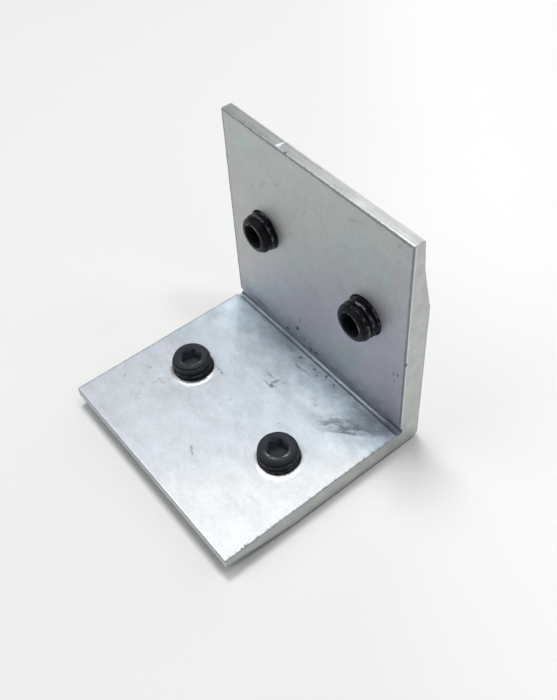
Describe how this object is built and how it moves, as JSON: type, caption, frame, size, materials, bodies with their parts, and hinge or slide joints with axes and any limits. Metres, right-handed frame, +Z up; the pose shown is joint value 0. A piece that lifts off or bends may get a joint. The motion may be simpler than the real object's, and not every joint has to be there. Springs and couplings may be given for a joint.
{
  "type": "light box corner bracket",
  "caption": "Right-angled aluminium corner bracket with tapered toes and socket set screws that lock it inside the channels of a light box frame.",
  "frame": {"origin": "on the underside of the base leg, in the middle of the bracket's box", "axes": "+X along the width of the extrusion, +Y out of the upright's outer face, +Z up along the upright"},
  "size_m": [0.038, 0.035, 0.04],
  "materials": {
    "aluminium": "mill finish extrusion with sawn ends",
    "black_screw": "black oxide, lightly oiled"
  },
  "bodies": {
    "bracket": {"bracket": "aluminium"},
    "upright_screw_left": {"upright_screw_left": "black_screw"},
    "upright_screw_right": {"upright_screw_right": "black_screw"},
    "base_screw_left": {"base_screw_left": "black_screw"},
    "base_screw_right": {"base_screw_right": "black_screw"}
  },
  "joints": [
    {"name": "upright_left_drive", "type": "slide", "parent": "bracket", "child": "upright_screw_left", "axis": [0, 1, 0], "range_m": [-0.0013, 0.0022]},
    {"name": "upright_right_drive", "type": "slide", "parent": "bracket", "child": "upright_screw_right", "axis": [0, 1, 0], "range_m": [-0.0008, 0.0027]},
    {"name": "base_left_drive", "type": "slide", "parent": "bracket", "child": "base_screw_left", "axis": [0, 0, -1], "range_m": [-0.0008, 0.0027]},
    {"name": "base_right_drive", "type": "slide", "parent": "bracket", "child": "base_screw_right", "axis": [0, 0, -1], "range_m": [-0.0008, 0.0027]}
  ]
}
